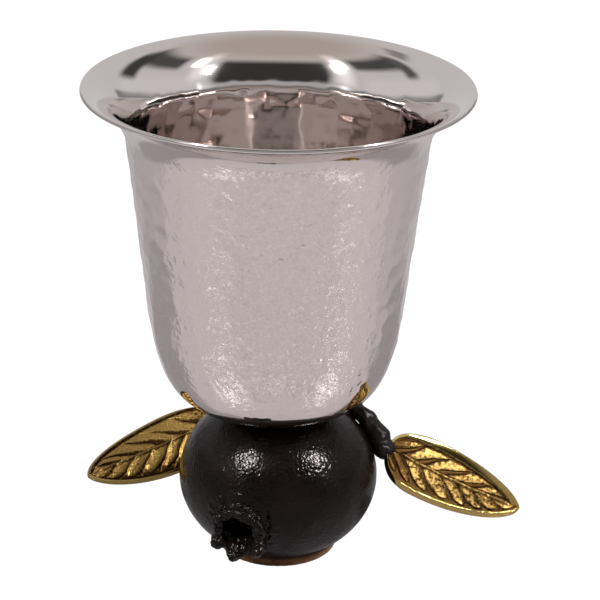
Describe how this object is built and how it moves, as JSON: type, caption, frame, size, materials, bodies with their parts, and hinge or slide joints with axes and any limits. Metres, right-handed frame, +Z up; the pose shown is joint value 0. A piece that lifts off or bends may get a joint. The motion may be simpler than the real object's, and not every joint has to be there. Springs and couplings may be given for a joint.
{
  "type": "kiddush cup",
  "caption": "Wine cup with a hammered, flared bowl on a cast pomegranate foot, with a leafy twig curled behind its neck.",
  "frame": {"origin": "centre of the foot pad's underside, where the cup stands", "axes": "+Z up, along the fruit's axis, to the mouth of the bowl; -Y is the front, where the fruit's crown points; +X is to the right seen from the front"},
  "size_m": [0.1003, 0.086, 0.11],
  "materials": {
    "polished_steel": "mirror polished steel, hammered below a smooth lip",
    "dark_cast": "black-brown, semi-gloss, finely grained casting",
    "felt": "brown felt",
    "dark_twig": "black-brown, satin, barky casting",
    "antique_brass": "polished antique brass with dark patina in its recesses"
  },
  "bodies": {
    "root": {"bowl": "polished_steel", "pomegranate": "dark_cast", "foot_pad": "felt", "twig": "dark_twig", "leaf_left": "antique_brass", "leaf_right": "antique_brass"}
  },
  "joints": []
}
